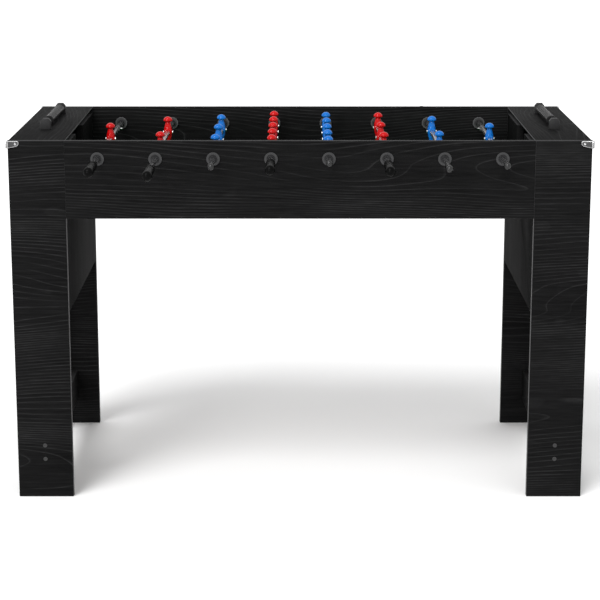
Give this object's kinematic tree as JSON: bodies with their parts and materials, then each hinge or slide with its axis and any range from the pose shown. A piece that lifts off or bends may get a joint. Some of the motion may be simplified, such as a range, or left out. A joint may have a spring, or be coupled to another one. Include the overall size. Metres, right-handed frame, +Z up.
{
  "type": "foosball table",
  "caption": "Freestanding black ash-grain foosball table on four L-shaped board legs, with player rods that slide and spin, goals at both ends and scoring beads on the end decks.",
  "frame": {"origin": "on the floor under the middle of the table", "axes": "+X along the table to the right, +Y from the front player to the back player, +Z up"},
  "size_m": [1.21, 1.012, 0.79],
  "materials": {
    "black_ash_board": "matt black ash-grain foil on board",
    "green_playfield": "satin printed board",
    "bearing_plastic": "satin moulded nylon",
    "sleeve_plastic": "satin moulded nylon",
    "steel_tube": "bright drawn and plated tube",
    "handle_plastic": "satin moulded plastic",
    "red_player_plastic": "gloss moulded plastic",
    "blue_player_plastic": "gloss moulded plastic",
    "fastener_steel": "zinc plated",
    "guard_metal": "satin nickel",
    "counter_plastic": "satin moulded plastic",
    "bead_plastic": "satin moulded plastic"
  },
  "bodies": {
    "cabinet": {"front_apron": "black_ash_board", "back_apron": "black_ash_board", "leg_front_left": "black_ash_board", "leg_front_right": "black_ash_board", "leg_back_left": "black_ash_board", "leg_back_right": "black_ash_board", "end_deck_left": "black_ash_board", "end_deck_right": "black_ash_board", "goal_panel_left": "black_ash_board", "goal_panel_right": "black_ash_board", "outer_end_panels": "black_ash_board", "leg_stretchers": "black_ash_board", "playfield": "green_playfield", "playfield_rails": "black_ash_board", "ball_shelves": "black_ash_board", "rod_bearings": "bearing_plastic", "score_counter_frames": "counter_plastic", "corner_guards": "guard_metal"},
    "red_goalie_sleeve_body": {"red_goalie_sleeves": "sleeve_plastic"},
    "red_goalie_rod_body": {"red_goalie_rod": "steel_tube", "red_goalie_men": "red_player_plastic", "red_goalie_bolts": "fastener_steel", "red_goalie_handle_and_cap": "handle_plastic"},
    "red_defence_sleeve_body": {"red_defence_sleeves": "sleeve_plastic"},
    "red_defence_rod_body": {"red_defence_rod": "steel_tube", "red_defence_men": "red_player_plastic", "red_defence_bolts": "fastener_steel", "red_defence_handle_and_cap": "handle_plastic"},
    "blue_attack_sleeve_body": {"blue_attack_sleeves": "sleeve_plastic"},
    "blue_attack_rod_body": {"blue_attack_rod": "steel_tube", "blue_attack_men": "blue_player_plastic", "blue_attack_bolts": "fastener_steel", "blue_attack_handle_and_cap": "handle_plastic"},
    "red_midfield_sleeve_body": {"red_midfield_sleeves": "sleeve_plastic"},
    "red_midfield_rod_body": {"red_midfield_rod": "steel_tube", "red_midfield_men": "red_player_plastic", "red_midfield_bolts": "fastener_steel", "red_midfield_handle_and_cap": "handle_plastic"},
    "blue_midfield_sleeve_body": {"blue_midfield_sleeves": "sleeve_plastic"},
    "blue_midfield_rod_body": {"blue_midfield_rod": "steel_tube", "blue_midfield_men": "blue_player_plastic", "blue_midfield_bolts": "fastener_steel", "blue_midfield_handle_and_cap": "handle_plastic"},
    "red_attack_sleeve_body": {"red_attack_sleeves": "sleeve_plastic"},
    "red_attack_rod_body": {"red_attack_rod": "steel_tube", "red_attack_men": "red_player_plastic", "red_attack_bolts": "fastener_steel", "red_attack_handle_and_cap": "handle_plastic"},
    "blue_defence_sleeve_body": {"blue_defence_sleeves": "sleeve_plastic"},
    "blue_defence_rod_body": {"blue_defence_rod": "steel_tube", "blue_defence_men": "blue_player_plastic", "blue_defence_bolts": "fastener_steel", "blue_defence_handle_and_cap": "handle_plastic"},
    "blue_goalie_sleeve_body": {"blue_goalie_sleeves": "sleeve_plastic"},
    "blue_goalie_rod_body": {"blue_goalie_rod": "steel_tube", "blue_goalie_men": "blue_player_plastic", "blue_goalie_bolts": "fastener_steel", "blue_goalie_handle_and_cap": "handle_plastic"},
    "score_beads_left_body": {"score_beads_left": "bead_plastic"},
    "score_beads_right_body": {"score_beads_right": "bead_plastic"}
  },
  "joints": [
    {"name": "red_goalie_spin", "type": "hinge", "parent": "cabinet", "child": "red_goalie_sleeve_body", "pos_m": [-0.4165, 0, 0.729], "axis": [0, 1, 0], "continuous": true},
    {"name": "red_goalie_slide", "type": "slide", "parent": "red_goalie_sleeve_body", "child": "red_goalie_rod_body", "axis": [0, 1, 0], "range_m": [-0.1015, 0.0825]},
    {"name": "red_defence_spin", "type": "hinge", "parent": "cabinet", "child": "red_defence_sleeve_body", "pos_m": [-0.2975, 0, 0.729], "axis": [0, 1, 0], "continuous": true},
    {"name": "red_defence_slide", "type": "slide", "parent": "red_defence_sleeve_body", "child": "red_defence_rod_body", "axis": [0, 1, 0], "range_m": [-0.117, 0.127]},
    {"name": "blue_attack_spin", "type": "hinge", "parent": "cabinet", "child": "blue_attack_sleeve_body", "pos_m": [-0.1785, 0, 0.729], "axis": [0, 1, 0], "continuous": true},
    {"name": "blue_attack_slide", "type": "slide", "parent": "blue_attack_sleeve_body", "child": "blue_attack_rod_body", "axis": [0, 1, 0], "range_m": [-0.078, 0.09]},
    {"name": "red_midfield_spin", "type": "hinge", "parent": "cabinet", "child": "red_midfield_sleeve_body", "pos_m": [-0.0595, 0, 0.729], "axis": [0, 1, 0], "continuous": true},
    {"name": "red_midfield_slide", "type": "slide", "parent": "red_midfield_sleeve_body", "child": "red_midfield_rod_body", "axis": [0, 1, 0], "range_m": [-0.0715, 0.0285]},
    {"name": "blue_midfield_spin", "type": "hinge", "parent": "cabinet", "child": "blue_midfield_sleeve_body", "pos_m": [0.0595, 0, 0.729], "axis": [0, 1, 0], "continuous": true},
    {"name": "blue_midfield_slide", "type": "slide", "parent": "blue_midfield_sleeve_body", "child": "blue_midfield_rod_body", "axis": [0, 1, 0], "range_m": [-0.052, 0.048]},
    {"name": "red_attack_spin", "type": "hinge", "parent": "cabinet", "child": "red_attack_sleeve_body", "pos_m": [0.1785, 0, 0.729], "axis": [0, 1, 0], "continuous": true},
    {"name": "red_attack_slide", "type": "slide", "parent": "red_attack_sleeve_body", "child": "red_attack_rod_body", "axis": [0, 1, 0], "range_m": [-0.111, 0.057]},
    {"name": "blue_defence_spin", "type": "hinge", "parent": "cabinet", "child": "blue_defence_sleeve_body", "pos_m": [0.2975, 0, 0.729], "axis": [0, 1, 0], "continuous": true},
    {"name": "blue_defence_slide", "type": "slide", "parent": "blue_defence_sleeve_body", "child": "blue_defence_rod_body", "axis": [0, 1, 0], "range_m": [-0.127, 0.117]},
    {"name": "blue_goalie_spin", "type": "hinge", "parent": "cabinet", "child": "blue_goalie_sleeve_body", "pos_m": [0.4165, 0, 0.729], "axis": [0, 1, 0], "continuous": true},
    {"name": "blue_goalie_slide", "type": "slide", "parent": "blue_goalie_sleeve_body", "child": "blue_goalie_rod_body", "axis": [0, 1, 0], "range_m": [-0.1015, 0.0825]},
    {"name": "score_beads_left_slide", "type": "slide", "parent": "cabinet", "child": "score_beads_left_body", "axis": [0, -1, 0], "range_m": [0, 0.045]},
    {"name": "score_beads_right_slide", "type": "slide", "parent": "cabinet", "child": "score_beads_right_body", "axis": [0, -1, 0], "range_m": [0, 0.045]}
  ]
}
